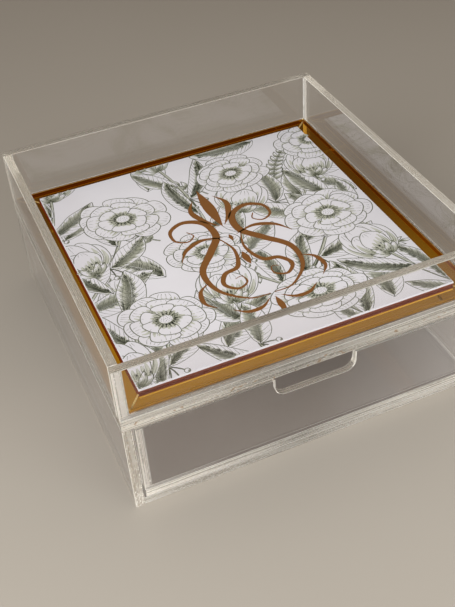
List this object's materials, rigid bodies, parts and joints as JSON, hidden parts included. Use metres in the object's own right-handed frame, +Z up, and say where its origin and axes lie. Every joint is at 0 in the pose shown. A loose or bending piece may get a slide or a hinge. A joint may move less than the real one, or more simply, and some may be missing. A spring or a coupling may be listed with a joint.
{
  "type": "vanity tray with drawer",
  "caption": "Clear acrylic bathroom tray with a gold-bordered printed insert, standing on a case with one sliding notched drawer.",
  "frame": {"origin": "centre of the underside, on the surface that the object stands on", "axes": "+Z up, -Y towards the drawer's front, +X to the right of someone facing the drawer"},
  "size_m": [0.254, 0.26, 0.1183],
  "materials": {
    "clear_acrylic": "clear cast acrylic sheet, polished faces, pale satin cut edges",
    "gold_mirror": "mirror-bright gold strip with a bright lip",
    "stained_board": "satin maroon-brown board edge",
    "white_panel": "white gloss panel printed with sage-green botanical line art and a gold ornament"
  },
  "bodies": {
    "case": {"case_bottom": "clear_acrylic", "case_back": "clear_acrylic", "case_side_left": "clear_acrylic", "case_side_right": "clear_acrylic", "case_top": "clear_acrylic", "tray_floor": "clear_acrylic", "tray_wall_front": "clear_acrylic", "tray_wall_back": "clear_acrylic", "tray_wall_left": "clear_acrylic", "tray_wall_right": "clear_acrylic", "gold_strip_front": "gold_mirror", "gold_strip_back": "gold_mirror", "gold_strip_left": "gold_mirror", "gold_strip_right": "gold_mirror", "insert_board": "stained_board", "print_sheet": "white_panel"},
    "drawer": {"drawer_bottom": "clear_acrylic", "drawer_front": "clear_acrylic", "drawer_back": "clear_acrylic", "drawer_side_left": "clear_acrylic", "drawer_side_right": "clear_acrylic"}
  },
  "joints": [
    {"name": "drawer_slide", "type": "slide", "parent": "case", "child": "drawer", "axis": [0, -1, 0], "range_m": [0, 0.2]}
  ]
}
